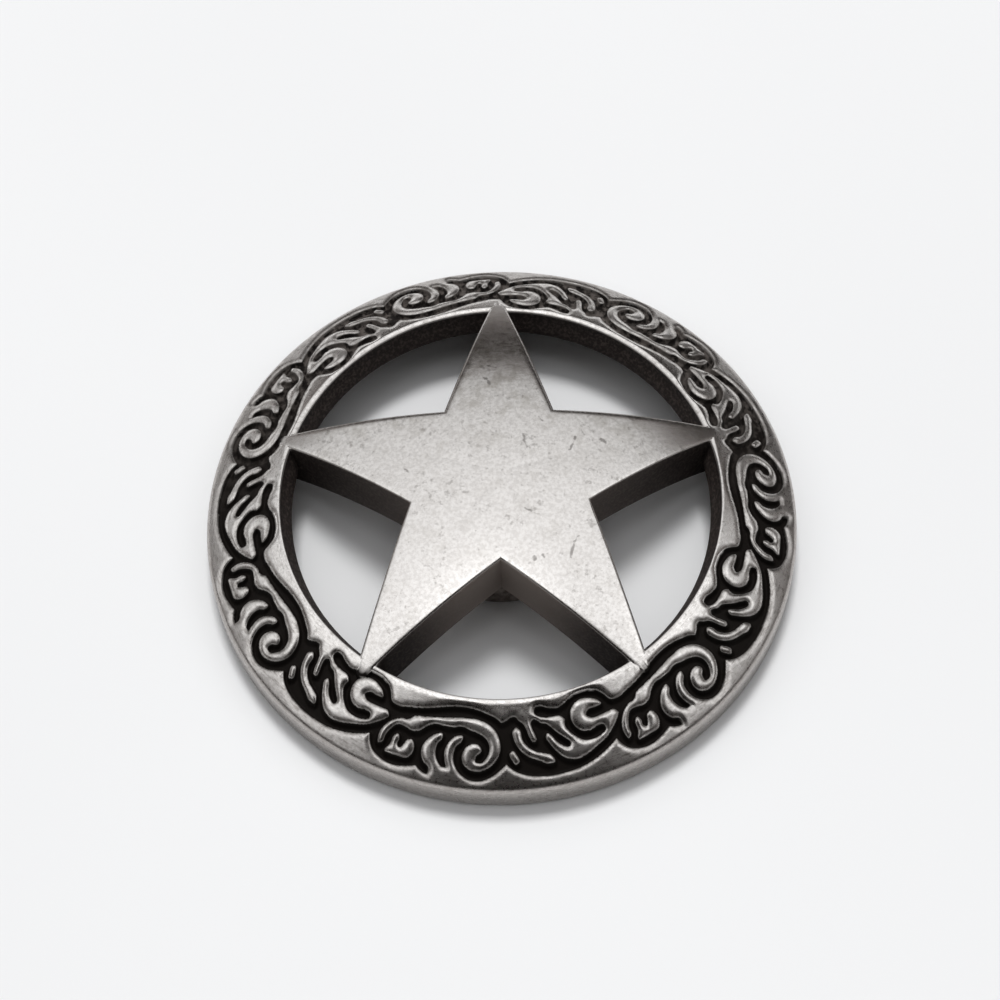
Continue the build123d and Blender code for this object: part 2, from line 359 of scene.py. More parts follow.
print("charted points:", sum(len(row) for table in tables for row in table.values()))

# %% [markdown]
# ## From the chart to depths
# The recess could be cut out with a Boolean, but every stroke of a polished casting has rounded
# shoulders. So the depth follows from the distance to the recess's edge, which smooth lines through
# the charted points draw. Counting the lines that a ray from the axis crosses tells whether a point
# lies in the recess or on a stroke.

# %% Smooth lines through charted points
CURVE_STEPS = 8


def flat_points(points):
    """Charted points as millimetres in the repeat's own plane."""
    chart = np.array(points)
    along, out = np.radians(chart[:, 0]), chart[:, 1] * RIM_RADIUS
    return np.stack([out * np.cos(along), out * np.sin(along)], 1)


def smooth_line(corners, closed):
    """A cubic curve through every corner, cut into short straight steps."""
    if closed:
        corners = np.vstack([corners[-2:], corners, corners[:3]])
    if len(corners) < 3:
        return corners
    gaps = np.diff(corners, axis=0)
    lengths = np.hypot(*gaps.T)[:, None]
    slopes = gaps / lengths
    inner = (slopes[:-1] * lengths[1:] + slopes[1:] * lengths[:-1]) / (lengths[:-1] + lengths[1:])
    tangents = np.vstack([2 * slopes[:1] - inner[:1], inner, 2 * slopes[-1:] - inner[-1:]])
    share = np.linspace(0, 1, CURVE_STEPS, endpoint=False)[:, None]
    pieces = []
    for i in range(len(gaps)):
        start, end = corners[i], corners[i + 1]
        pull_start, pull_end = tangents[i] * lengths[i], tangents[i + 1] * lengths[i]
        pieces.append(
            start * (2 * share**3 - 3 * share**2 + 1) + pull_start * (share**3 - 2 * share**2 + share)
            + end * (3 * share**2 - 2 * share**3) + pull_end * (share**3 - share**2)
        )
    line = np.vstack(pieces[2:-2]) if closed else np.vstack(pieces)
    return np.vstack([line, line[:1] if closed else corners[-1:]])


def turned(line, angle):
    """The line turned about the axis by an angle in degrees."""
    c, s = cos(radians(angle)), sin(radians(angle))
    return line @ np.array([[c, s], [-s, c]])


def repeat_steps():
    """Every short step of one repeat's lines, with the neighbouring repeats' too."""
    lines = []
    for edge in (OUTER_EDGE, INNER_EDGE):
        rows = list(edge.values())
        after = [(angle + REPEAT_TURN, share) for angle, share in rows[0][:1]]
        for row, following in zip(rows, rows[1:] + [after]):
            lines.append(smooth_line(flat_points(row + following[:1]), closed=False))
    for row in ISLANDS.values():
        lines.append(smooth_line(flat_points(row), closed=True))
    steps = []
    for line in lines:
        for shift in (-REPEAT_TURN, 0, REPEAT_TURN):
            moved = turned(line, shift)
            steps.append(np.hstack([moved[:-1], moved[1:]]))
    return np.vstack(steps)


CHART_STEPS = repeat_steps()
print("chart lines:", len(CHART_STEPS), "short steps")

# %% Signed distance to the recess's edge
NEAR_ENOUGH = 1.2  # lines further than this from the ray are skipped: the depth is flat there


def recess_distance(local_angle, radii):
    """For points on one ray of a repeat: millimetres inside the recess, negative on a stroke."""
    a = radians(local_angle)
    ray = np.array([cos(a), sin(a)])
    side = np.array([-sin(a), cos(a)])
    start, end = CHART_STEPS[:, :2], CHART_STEPS[:, 2:]
    start_off, end_off = start @ side, end @ side
    crossing = (start_off < 0) != (end_off < 0)
    share = start_off[crossing] / (start_off[crossing] - end_off[crossing])
    hits = (start[crossing] @ ray) * (1 - share) + (end[crossing] @ ray) * share
    inside = np.searchsorted(np.sort(hits[hits > 0]), radii) % 2 == 1
    near = np.minimum(np.abs(start_off), np.abs(end_off)) < NEAR_ENOUGH
    first, run = start[near], end[near] - start[near]
    points = radii[:, None] * ray
    to_point = points[:, None, :] - first[None]
    along = np.clip((to_point * run).sum(2) / (run * run).sum(1), 0, 1)
    away = to_point - along[..., None] * run
    distance = np.sqrt((away * away).sum(2).min(1))
    return np.where(inside, distance, -distance)


print("distance at the start:", recess_distance(0, np.array([17.0])).round(2), "mm")

# %% Depth at a distance from the edge
WALL_WIDTH = 0.17  # from the charted edge to the foot of the steep wall
CROWN_DROP = 0.105  # how far a stroke's polished shoulder falls before the wall
CROWN_REACH = 0.36
WALL_CURVE = 0.4  # how much steeper than straight the wall starts


def recess_depth(distance):
    """Depth under the dome at a distance from the recess's edge: rounded strokes, flat floor."""
    crown = CROWN_DROP * np.clip(1 + distance / CROWN_REACH, 0, 1) ** 2
    fall = np.clip(distance / WALL_WIDTH, 0, 1)
    return crown + (RELIEF_DEPTH - CROWN_DROP) * fall * (1 + WALL_CURVE - WALL_CURVE * fall)


print("depth at an edge:", round(float(recess_depth(np.array([0.0]))[0]), 3), "mm")

# %% [markdown]
# ## Ring
# The ring is a turned shape, so its section is drawn once and spun about the axis. A curve with a
# bevel object could make it too, but a spin leaves a clean grid of rows and columns, which the
# scrolls need later. The section is a circle primitive whose vertices are moved to the outline.

# %% Section of the ring
ROLL_STOPS = [14.006, 14.02, 14.045, 14.085, 14.14, 14.21, 14.30]  # close rows along the opening
FACE_ROWS = 48
SCROLLS_START = 14.4
SCROLLS_END = 18.52  # nothing is cut into the face outside this radius
SHOULDER_RADIUS = 0.6
SHOULDER_STEPS = 5
RIM_MIDDLE_Z = 1.2
FOOT_CHAMFER = 0.25
FOOT_ROUND = 0.1
LAND_INNER = 17.7
HOLLOW_OUTER = 17.5
BACK_ROUND = 0.12
HOLLOW_ROUND = 0.25
WALL_FOOT = (13.363, 3.413)
WALL_TOP_Z = float(height_on(DOME_RADIUS, OPENING_RADIUS))
ROLL_DEPTH = 0.5  # from the face down to where the opening's leaning wall starts


def between(start, end, share):
    """The point at a share of the way between two points."""
    return tuple(a + (b - a) * share for a, b in zip(start, end))


def rounded(before, corner, after, reach):
    """Three points that round a corner off, from reach before it to reach after it."""
    start = between(corner, before, reach / hypot(before[0] - corner[0], before[1] - corner[1]))
    end = between(corner, after, reach / hypot(after[0] - corner[0], after[1] - corner[1]))
    return [between(between(start, corner, s), between(corner, end, s), s) for s in (0, 0.5, 1)]


def ring_section():
    """The ring's outline in a plane through the axis: points of (radius, height), face first."""
    shoulder_r = RIM_RADIUS - SHOULDER_RADIUS
    shoulder_z = height_on(DOME_RADIUS - SHOULDER_RADIUS, shoulder_r)
    shoulder_angle = atan2(shoulder_r, shoulder_z - DOME_CENTRE_Z)
    face_end = DOME_RADIUS * sin(shoulder_angle)
    face_stops = [*ROLL_STOPS, *np.linspace(SCROLLS_START, SCROLLS_END, FACE_ROWS), face_end]
    outline = [(r, height_on(DOME_RADIUS, r)) for r in face_stops]
    for step in range(1, SHOULDER_STEPS + 1):
        a = shoulder_angle + (pi / 2 - shoulder_angle) * step / SHOULDER_STEPS
        outline.append((shoulder_r + SHOULDER_RADIUS * sin(a), shoulder_z + SHOULDER_RADIUS * cos(a)))
    back_radius = sqrt(WALL_FOOT[0] ** 2 + (WALL_FOOT[1] - DOME_CENTRE_Z) ** 2)
    rim_middle = (RIM_RADIUS, RIM_MIDDLE_Z)
    rim_foot = (RIM_RADIUS, FOOT_CHAMFER)
    land_outer = (RIM_RADIUS - FOOT_CHAMFER, 0.0)
    land_inner = (LAND_INNER, 0.0)
    hollow_top = (HOLLOW_OUTER, float(height_on(back_radius, HOLLOW_OUTER)))
    back = [(r, height_on(back_radius, r)) for r in np.linspace(HOLLOW_OUTER, WALL_FOOT[0], 7)[1:-1]]
    wall_start = (OPENING_RADIUS, WALL_TOP_Z - ROLL_DEPTH)
    outline.append(rim_middle)
    outline += rounded(rim_middle, rim_foot, land_outer, FOOT_ROUND)
    outline += rounded(rim_foot, land_outer, land_inner, FOOT_ROUND)
    outline += rounded(land_outer, land_inner, hollow_top, BACK_ROUND)
    outline += rounded(land_inner, hollow_top, back[0], HOLLOW_ROUND)
    outline += back
    outline += rounded(back[-1], WALL_FOOT, wall_start, BACK_ROUND)
    return outline + [between(WALL_FOOT, wall_start, 0.5), wall_start]


section = ring_section()
print("section:", len(section), "points")

# %% Draw the section and spin it
SPIN_STEPS = 308
MERGE_DISTANCE = 0.002


def merge_seams():
    """Merges doubled corners of the mesh in edit mode and turns its faces outwards."""
    bpy.ops.mesh.select_all(action="SELECT")
    bpy.ops.mesh.remove_doubles(threshold=MERGE_DISTANCE * MM)
    bpy.ops.mesh.normals_make_consistent(inside=False)
    bpy.ops.object.mode_set(mode="OBJECT")


bpy.ops.mesh.primitive_circle_add(vertices=len(section), radius=RIM_RADIUS * MM)
casting = bpy.context.object
casting.name = "star_casting"
for vertex, (radius, height) in zip(casting.data.vertices, section):
    vertex.co = (radius * MM, 0, height * MM)
bpy.ops.object.mode_set(mode="EDIT")
bpy.ops.mesh.select_all(action="SELECT")
bpy.ops.mesh.spin(steps=SPIN_STEPS, angle=2 * pi, center=(0, 0, 0), axis=(0, 0, 1))
merge_seams()
print("ring:", len(casting.data.polygons), "faces")

# %% [markdown]
# ## Finer cells where the scrolls come
# The cast scrolls are about half a millimetre wide, so only the face needs small cells. Its round
# edges are selected and subdivided, which adds columns there and nowhere else. The new corners lie
# on straight edges, so they are moved out to the circle again.


# %% Finer cells on the face
FINE_CUTS = 4
ON_FACE = 0.01  # how near to the dome and to a row a corner of the face lies


def coordinates(obj):
    """The mesh's vertices as an array of millimetres."""
    flat = np.empty(len(obj.data.vertices) * 3)
    obj.data.vertices.foreach_get("co", flat)
    return flat.reshape(-1, 3) / MM


def move_vertices(obj, places):
    """Puts the mesh's vertices at the places of an array of millimetres."""
    obj.data.vertices.foreach_set("co", (places * MM).ravel())


def edge_ends(obj):
    """The two vertices of each edge."""
    ends = np.empty(len(obj.data.edges) * 2, int)
    obj.data.edges.foreach_get("vertices", ends)
    return ends.reshape(-1, 2)


def nearest_row(radii):
    """The row of the face that is nearest to each radius."""
    return np.abs(radii[:, None] - face_radii[None]).argmin(1)


def on_the_face(points):
    """Which points lie on the ring's face, each point's distance from the axis, and its row."""
    out = np.hypot(points[:, 0], points[:, 1])
    row = nearest_row(out)
    off_dome = np.abs(np.hypot(out, points[:, 2] - DOME_CENTRE_Z) - DOME_RADIUS)
    return (off_dome < ON_FACE) & (np.abs(out - face_radii[row]) < ON_FACE), out, row


face_radii = np.array([r for r, z in section if abs(hypot(r, z - DOME_CENTRE_Z) - DOME_RADIUS) < 1e-6])
on_face, out, row = on_the_face(coordinates(casting))
ends = edge_ends(casting)
round_edges = on_face[ends].all(1) & (row[ends[:, 0]] == row[ends[:, 1]])
bpy.context.tool_settings.mesh_select_mode = (False, True, False)
bpy.ops.object.mode_set(mode="EDIT")
bpy.ops.mesh.select_all(action="DESELECT")
bpy.ops.object.mode_set(mode="OBJECT")
casting.data.edges.foreach_set("select", round_edges)
bpy.ops.object.mode_set(mode="EDIT")
bpy.ops.mesh.subdivide(number_cuts=FINE_CUTS)
bpy.ops.object.mode_set(mode="OBJECT")
points = coordinates(casting)
on_face, out, row = on_the_face(points)
points[on_face, :2] *= (face_radii[row] / out)[on_face, None]
move_vertices(casting, points)
print("ring:", len(casting.data.polygons), "faces,", int(on_face.sum()), "corners on its face")

# %% [markdown]
# ## The chart meets the grid
# The distance to the recess's edge could be worked out for every corner. But the columns of the face
# fall on the same rays in each repeat, so it is enough to do it for one repeat and look it up.

# %% Distance from the recess's edge along every ray
RAYS = SPIN_STEPS * (FINE_CUTS + 1) // REPEAT_COUNT
RAY_STEP = REPEAT_TURN / RAYS
ray_offset = -REPEAT_START % RAY_STEP
distances = np.array([recess_distance(ray_offset + k * RAY_STEP, face_radii) for k in range(RAYS)])
print("recess covers", round(float((distances > 0).mean() * 100)), "% of the ring's face")

# %% [markdown]
# ## Clean edges on the scrolls
# A scroll's edge crosses the grid at a slant, and square cells would cut it into little steps. Far
# smaller cells would hide that, but they make a heavy mesh. So the corners nearest to the steep
# wall's top, middle and foot are slid along the face onto those lines.


# %% Slide corners onto the wall's lines
PULL_REACH = 0.036
LEAST_STEEPNESS = 0.6  # below this, two edges are equally near and a corner stays where it is
FIXED_ROWS = [*range(len(ROLL_STOPS) + 1), -2, -1]


def nearest_ray(points):
    """The ray of the repeat that each point lies on."""
    local = np.degrees(np.arctan2(points[:, 1], points[:, 0])) - REPEAT_START - ray_offset
    return np.rint((local % REPEAT_TURN) / RAY_STEP).astype(int) % RAYS


def contour_pull(distance):
    """Moves outwards and sideways that bring corners onto the lines, and the distance they make up."""
    slope_across, slope_out = np.gradient(np.vstack([distance[-1:], distance, distance[:1]]))
    slope_across = slope_across[1:-1] / (np.radians(RAY_STEP) * face_radii)
    slope_out = slope_out[1:-1] / np.gradient(face_radii)
    steepness = slope_across**2 + slope_out**2
    lines = np.array([0, WALL_WIDTH / 2, WALL_WIDTH])
    excess = distance - lines[np.abs(distance[..., None] - lines).argmin(-1)]
    excess[(np.abs(excess) >= PULL_REACH) | (steepness <= LEAST_STEEPNESS)] = 0
    excess[:, FIXED_ROWS] = 0
    steepness = steepness.clip(LEAST_STEEPNESS)
    return -excess * slope_out / steepness, -excess * slope_across / steepness, excess


ray = nearest_ray(points)
pull_out, pull_across, made_up = contour_pull(distances)
outward = points[:, :2] / out[:, None]
sideways = np.column_stack([-outward[:, 1], outward[:, 0]])
moved = points[:, :2] + outward * pull_out[ray, row][:, None] + sideways * pull_across[ray, row][:, None]
points[on_face, :2] = moved[on_face]
points[on_face, 2] = height_on(DOME_RADIUS, np.hypot(*moved[on_face].T))
move_vertices(casting, points)
distances = distances - made_up
print("corners moved in one repeat:", int((made_up != 0).sum()))

# %% [markdown]
# ## The opening's edge
# The real edge differs round the opening. At the front it is crisp, with a land that falls away
# softly towards it, at the sides it is rounder, and at the far side a narrow bevel shines. A Bevel
# modifier would make it the same all round, so its depth is worked out for each corner instead.

# %% Depth of the rolled edge
FAR_SIDE = (-0.1, 0.3)  # where the far side starts and is fully reached, as y over the radius
FRONT = (0.5, 21 / 22)  # the same for the front, as -y over the radius
EDGE_ROLL = 0.10
FAR_EDGE_ROLL = 0.04
SIDE_ROLL = 0.36
FAR_BEVEL = 0.30
BEVEL_SLOPE = tan(radians(38))
BEVEL_BLEND = 0.03
SOFT_ROLL = 0.085
SOFT_ROLL_REACH = 0.46


def roll_drop(x, y):
    """How far the rolled edge of the opening falls below the dome."""
    radius = np.hypot(x, y)
    far = share_between(y / radius, *FAR_SIDE)
    front = share_between(-y / radius, *FRONT)
    roll = EDGE_ROLL + (FAR_EDGE_ROLL - EDGE_ROLL) * far + SIDE_ROLL * far * (1 - far)
    inside = np.clip(OPENING_RADIUS + roll - radius, 0, roll)
    bevel = np.maximum(OPENING_RADIUS + FAR_BEVEL * far**2 - radius, 0)
    soft = share_between(radius, OPENING_RADIUS + SOFT_ROLL_REACH, OPENING_RADIUS)
    drop = roll - np.sqrt(roll**2 - inside**2)
    return drop + BEVEL_SLOPE * bevel**2 / (bevel + BEVEL_BLEND) + SOFT_ROLL * front * soft**2


print("bevel at the far side:", round(float(roll_drop(0, OPENING_RADIUS)), 2), "mm deep")

# %% [markdown]
# ## Press the recess in
# The recess between the scrolls and the rolled edge are pressed down together with one Displace
# modifier. A vertex group steers it, so each corner sinks by its own depth, as if it had been
# weight painted by hand.

# %% Paint the depth and press
PRESS_DEPTH = 0.56
LEAST_WEIGHT = 0.001
depths = recess_depth(distances)
drops = np.maximum(depths[ray, row], roll_drop(points[:, 0], points[:, 1]))
drops = drops * DOME_RADIUS / (points[:, 2] - DOME_CENTRE_Z)  # the press is upright, the dome slopes
weights = np.where(on_face, drops / PRESS_DEPTH, 0)
pressed = np.nonzero(weights > LEAST_WEIGHT)[0]
recess_group = casting.vertex_groups.new(name="recess")
for index in pressed:
    recess_group.add([int(index)], float(weights[index]), "REPLACE")
press = casting.modifiers.new("press", "DISPLACE")
press.vertex_group = "recess"
press.mid_level = 0
press.direction = "Z"
press.strength = -PRESS_DEPTH * MM
bpy.ops.object.modifier_apply(modifier="press")
print("pressed:", len(pressed), "corners, at most", round(float(weights.max() * PRESS_DEPTH), 2), "mm")

# %% [markdown]
# ## Star
# The star is cast with the ring. Its outline is a regular pentagram: all ten edges lie on lines at
# the same distance from the axis. It could be extruded and bevelled, but its domed face, slanting
# sides and hollow back are easier to get from a grid primitive that is wrapped round the outline.
# Each row of the grid is one line round the star, and its columns are the outline's points.

# %% Outline of the star
STAR_LINE = 4.78  # from the axis to each edge line, at the height of the inner corners
STAR_DRAFT = tan(radians(3.0))
STAR_TOP = 8.32
STAR_SPHERE = 32.8  # a little rounder than the dome, so that the tips run into the ring flush
STAR_THICKNESS = 3.2
TIP_RADIUS = 0.4
ARMS = 5
ARM_TURN = 360 / ARMS
SIDE_STEPS = 18
TIP_STEPS = 8
corner_height = float(height_on(DOME_RADIUS, STAR_LINE / cos(radians(ARM_TURN / 2))))
base_line = STAR_LINE + corner_height * STAR_DRAFT
base_tip = TIP_RADIUS + WALL_TOP_Z * STAR_DRAFT
tip_centre = (base_line - base_tip) / sin(radians(ARM_TURN / 4))


def arrow(angle):
    """The direction at an angle in degrees."""
    return np.array([cos(radians(angle)), sin(radians(angle))])


def star_outline():
    """Points round the star at the table's height, and how each moves when the outline is inset."""
    outline = []
    for arm in range(ARMS):
        along = 90 + arm * ARM_TURN
        tip = tip_centre * arrow(along)
        for sign in (-1, 1):
            normal = arrow(along + sign * ARM_TURN)
            corner = arrow(along + sign * ARM_TURN / 2) / cos(radians(ARM_TURN / 2))
            side = []
            for share in np.linspace(0, 1, SIDE_STEPS, endpoint=False):
                place = corner * base_line * (1 - share) + (tip + base_tip * normal) * share
                side.append((place, corner * (1 - share) + normal * share))
            if sign > 0:
                for step in range(TIP_STEPS + 1):
                    out = arrow(along - ARM_TURN + 2 * ARM_TURN * step / TIP_STEPS)
                    outline.append((tip + base_tip * out, out))
                side.reverse()
            outline += side
    places, moves = (np.array(column) for column in zip(*outline))
    keep = [i for i in range(len(places)) if np.hypot(*(places[i] - places[i - 1])) > 1e-6]
    return places[keep], moves[keep]


star_places, star_moves = star_outline()
print("star outline:", len(star_places), "points")

# %% Heights of the star's face and back
SOFT_DROP = 0.085  # the face falls away softly near its edges, as polishing leaves it
SOFTNESS = {-0.81: 0.25, 0.31: 0.6, 1.0: 1.0}  # edges that face the camera, the sides, the far side
SOFT_REACH = (0.2, 0.42)
SOFT_END = 15.2  # at the tips the soft fall gets narrower towards this radius
SOFT_TAPER = 0.3
HEIGHT_ROUNDS = 4


def star_face(radius):
    """Height of the star's face at a distance from the axis."""
    return STAR_TOP - STAR_SPHERE + np.sqrt(STAR_SPHERE**2 - np.square(radius))


def star_back(radius):
    """Height of the star's hollow back."""
    return height_on(DOME_RADIUS - STAR_THICKNESS, radius)


def polished(flat, inset):
    """Points of the star's face at an inset from its outline, with the soft fall near the edge."""
    radius = np.hypot(*flat.T)
    softness = np.interp(star_moves[:, 1], list(SOFTNESS), list(SOFTNESS.values()))
    reach = np.clip((SOFT_END - radius) * SOFT_TAPER, *SOFT_REACH)
    fall = SOFT_DROP * softness * np.clip(1 - inset / reach, 0, 1) ** 2
    return np.column_stack([flat, star_face(radius) - fall])


def outline_at(surface, inset):
    """The outline where it meets a surface, inset a little: points of (x, y, z)."""
    height = np.full(len(star_places), corner_height)
    for _ in range(HEIGHT_ROUNDS):
        flat = star_places - (height * STAR_DRAFT + inset)[:, None] * star_moves
        height = surface(np.hypot(*flat.T))
    return np.column_stack([flat, height])


print("star at the axis:", round(float(star_face(0) - star_back(0)), 2), "mm thick")

# %% Rows of the star, from face to back
EDGE_ROUND = 0.16
FACE_INSETS = [4.78, 4.2, 3.5, 2.9, 2.3, 1.8, 1.4, 1.1, 0.85, 0.64, 0.46, 0.3, EDGE_ROUND]
EDGE_STEPS = 5
SIDE_SHARES = (0.3, 0.6, 0.9, 1.0)
BACK_STEPS = 6
rows = []
face_edge = outline_at(star_face, EDGE_ROUND)[:, :2]
for inset in FACE_INSETS:
    share = 1 - (inset - EDGE_ROUND) / (FACE_INSETS[0] - EDGE_ROUND)
    rows.append(polished(face_edge * share, inset))
for step in range(1, EDGE_STEPS + 1):
    a = radians(90 * step / EDGE_STEPS)
    inset = EDGE_ROUND * (1 - sin(a))
    edge = polished(outline_at(star_face, inset)[:, :2], inset)
    rows.append(edge - (0, 0, EDGE_ROUND * (1 - cos(a))))
side_top, back_edge = rows[-1], outline_at(star_back, 0)
for share in SIDE_SHARES:
    rows.append(side_top * (1 - share) + back_edge * share)
for step in range(1, BACK_STEPS + 1):
    flat = back_edge[:, :2] * (1 - step / BACK_STEPS)
    rows.append(np.column_stack([flat, star_back(np.hypot(*flat.T))]))
print("star:", len(rows), "rows")

# %% Wrap a grid round the star
columns = len(star_places)
bpy.ops.mesh.primitive_grid_add(x_subdivisions=columns, y_subdivisions=len(rows) - 1, size=RIM_RADIUS * MM)
star = bpy.context.object
star.name = "star"
move_vertices(star, np.vstack([np.vstack([line, line[:1]]) for line in rows]))
bpy.ops.object.mode_set(mode="EDIT")
merge_seams()
print("star:", len(star.data.polygons), "faces")

# %% [markdown]
# ## One casting
# Ring and star are one piece of metal, and the star's tips run up onto the ring. Joining the meshes
# would leave faces inside the metal, so a Boolean union is used, which cuts them away.

# %% Join the star to the ring
bpy.ops.object.select_all(action="DESELECT")
casting.select_set(True)
bpy.context.view_layer.objects.active = casting
union = casting.modifiers.new("union", "BOOLEAN")
union.operation = "UNION"
union.solver = "MANIFOLD"
union.object = star
bpy.ops.object.modifier_apply(modifier="union")
bpy.data.objects.remove(star)
casting.data.calc_loop_triangles()
print("casting:", len(casting.data.loop_triangles), "triangles")

# %% [markdown]
# ## Mark the recess for the tarnish
# The recess of the real concho is black and the strokes beside it are bright. The material could tell
# them apart by depth alone, but the strokes have rounded shoulders. So each corner of the mesh
# carries a mark of its own, from the same distances that shaped it.

# %% Mark the recess
TARNISH_LINE = (-0.04, 0.03)  # millimetres from the charted edge: from bright to black
DEPTH_SLACK = 0.02
points = coordinates(casting)
out = np.hypot(points[:, 0], points[:, 1])
sphere = np.hypot(out, points[:, 2] - DOME_CENTRE_Z)
in_relief = (out > face_radii[0] - ON_FACE) & (out < SCROLLS_END + ON_FACE)
in_relief &= (sphere > DOME_RADIUS - RELIEF_DEPTH - DEPTH_SLACK) & (sphere < DOME_RADIUS + ON_FACE)
edge_distance = distances[nearest_ray(points), nearest_row(out)]
amount = np.where(in_relief, share_between(edge_distance, *TARNISH_LINE), 0)
tarnish = casting.data.attributes.new("tarnish", "FLOAT", "POINT")
tarnish.data.foreach_set("value", amount.astype(np.float32))
print("tarnished corners:", int((amount > 0.5).sum()))

# %% [markdown]
# ## Sharp edges
# The casting's real edges are sharp, while the scrolls flow. Smooth shading alone would blur the
# edges, so edges above an angle are kept sharp, apart from those inside the relief.

# %% Keep the real edges sharp and the scrolls smooth
SHARP_ANGLE = radians(38)
bpy.ops.object.shade_smooth_by_angle(angle=SHARP_ANGLE)
sharp_edges = casting.data.attributes["sharp_edge"]
sharp = np.empty(len(casting.data.edges), bool)
sharp_edges.data.foreach_get("value", sharp)
sharp &= ~in_relief[edge_ends(casting)].all(1)
sharp_edges.data.foreach_set("value", sharp)
print("sharp edges:", int(sharp.sum()))

# %% [markdown]
# ## Antiqued metal
# The casting is plated, dipped in a black antiquing bath, and then tumbled and polished, which
# leaves the black only where nothing rubs: in the recess, on the side walls and on the back. These
# areas could be painted by hand. Here the place of a point tells them: how deep it lies below the
# dome and how far from the axis. The tarnish marks of the mesh add the recess.

# %% Casting: where the metal is dark
antiqued, nodes, shader = new_material("antiqued_metal")
place = nodes.object_place()
axes = nodes.add("SeparateXYZ", {0: place}).outputs
level = nodes.add("CombineXYZ", {"X": axes["X"], "Y": axes["Y"]}).outputs[0]
from_axis = nodes.vectors("LENGTH", level)
from_dome_centre = nodes.vectors("DISTANCE", place, (0, 0, DOME_CENTRE_Z * MM))
below = nodes.maths("SUBTRACT", DOME_RADIUS * MM, from_dome_centre)
from_star_centre = nodes.vectors("DISTANCE", place, (0, 0, (STAR_TOP - STAR_SPHERE) * MM))
below_star = nodes.maths("SUBTRACT", STAR_SPHERE * MM, from_star_centre)
on_ring = nodes.zone(from_axis, 13.8, 14.2)
on_star = nodes.zone(from_axis, 14.2, 13.8)
inside_rim = nodes.zone(from_axis, 18.9, 18.0)
past_edge = nodes.maths("MULTIPLY", nodes.zone(from_axis, 14.40, 14.56), inside_rim)
star_side = nodes.zone(below_star, 0.045, 0.09)
bright_bevel = nodes.zone(axes["Y"], -1, 6, 0.0, 0.10 * MM)
ring_side = nodes.zone(nodes.maths("SUBTRACT", below, bright_bevel), 0.15, 0.25)
side_wall = nodes.add("Mix", {0: on_ring, 2: star_side, 3: ring_side}).outputs[0]
side_wall = nodes.maths("MULTIPLY", side_wall, inside_rim)
marks = nodes.add("Attribute", attribute_name="tarnish").outputs["Fac"]
slopes = nodes.maths("MULTIPLY", nodes.zone(below, 0.07, 0.15), past_edge, nodes.zone(below, 0.60, 0.48))
recess = nodes.maths("MAXIMUM", marks, slopes)
dark = nodes.maths("MAXIMUM", recess, side_wall)
print("dark areas:", len(antiqued.node_tree.nodes), "nodes")

# %% [markdown]
# ## Grain and pits
# Cast metal keeps fine pits under its plating, and polishing leaves it cloudy. A scanned picture
# would give both, but noise needs no picture and has no seams. One coarse noise decides where pits
# are common, a finer one makes them, and a third darkens the far side of the star in patches.

# %% Casting: grain and pits
PLATED = (0.99, 0.96, 0.93, 1)
PLATED_GREY = (0.86, 0.83, 0.80, 1)
PIT_GREY = (0.34, 0.32, 0.30, 1)
PATCH_GREY = (0.50, 0.465, 0.41, 1)
cloud = nodes.noise(place, 380, 3, 0.6)
grain = nodes.noise(place, 4300, 2, 0.6)
pitting = nodes.noise(place, 2400, 3.5, 0.66)
bright = nodes.mix(nodes.ramp(grain, 0.34, 0.66), PLATED, PLATED_GREY)
pit_limit = nodes.ramp(cloud, 0.40, 0.62, 0.60, 0.525)
pitted = nodes.ramp(nodes.maths("SUBTRACT", pitting, pit_limit), 0.0, 0.16, 0.0, 0.5)
bright = nodes.mix(pitted, bright, PIT_GREY)
patches = nodes.ramp(nodes.noise(place, 640, 4, 0.68), 0.47, 0.66)
patches = nodes.maths("MULTIPLY", patches, nodes.zone(axes["Y"], 0, 8, 0.14, 0.50), on_star)
bright = nodes.mix(patches, bright, PATCH_GREY)
print("with grain and pits:", len(antiqued.node_tree.nodes), "nodes")

# %% [markdown]
# ## Polishing streaks and residue
# The ring has fine streaks round it, as polishing leaves them, and some of the black stays on the
# slopes of the strokes and along the star's edges. The streaks could be an anisotropic shine, but
# noise that is stretched round the axis shows them as real lines.

# %% Casting: streaks and residue
STREAK_GREY = (0.33, 0.30, 0.28, 1)
RESIDUE_GREY = (0.30, 0.28, 0.262, 1)
STREAKS_PER_RADIAN = 30
STREAKS_PER_MM = 7
around = nodes.vectors("NORMALIZE", level)
around = nodes.vectors("MULTIPLY", around, (STREAKS_PER_RADIAN, STREAKS_PER_RADIAN, 0))
across = nodes.maths("MULTIPLY", nodes.maths("SUBTRACT", from_axis, axes["Z"]), STREAKS_PER_MM / MM)
streak_place = nodes.vectors("ADD", around, nodes.add("CombineXYZ", {"Z": across}).outputs[0])
streaks = nodes.ramp(nodes.noise(streak_place, 1, 4, 0.62), 0.50, 0.66)
streaks = nodes.maths("MULTIPLY", streaks, on_ring, nodes.zone(from_axis, 17.4, 18.0, 0.34, 0.62))
bright = nodes.mix(streaks, bright, STREAK_GREY)
blotches = nodes.noise(place, 1500, 4, 0.62)
residue = nodes.ramp(blotches, 0.38, 0.62, 0.15, 0.70)
residue = nodes.maths("MULTIPLY", residue, nodes.zone(below, 0.004, 0.05), past_edge)
edge_wear = nodes.maths("MULTIPLY", nodes.zone(below_star, 0.012, 0.05), on_star)
residue = nodes.maths("MAXIMUM", residue, nodes.maths("MULTIPLY", edge_wear, 0.5))
bright = nodes.mix(residue, bright, RESIDUE_GREY)
print("with streaks and residue:", len(antiqued.node_tree.nodes), "nodes")

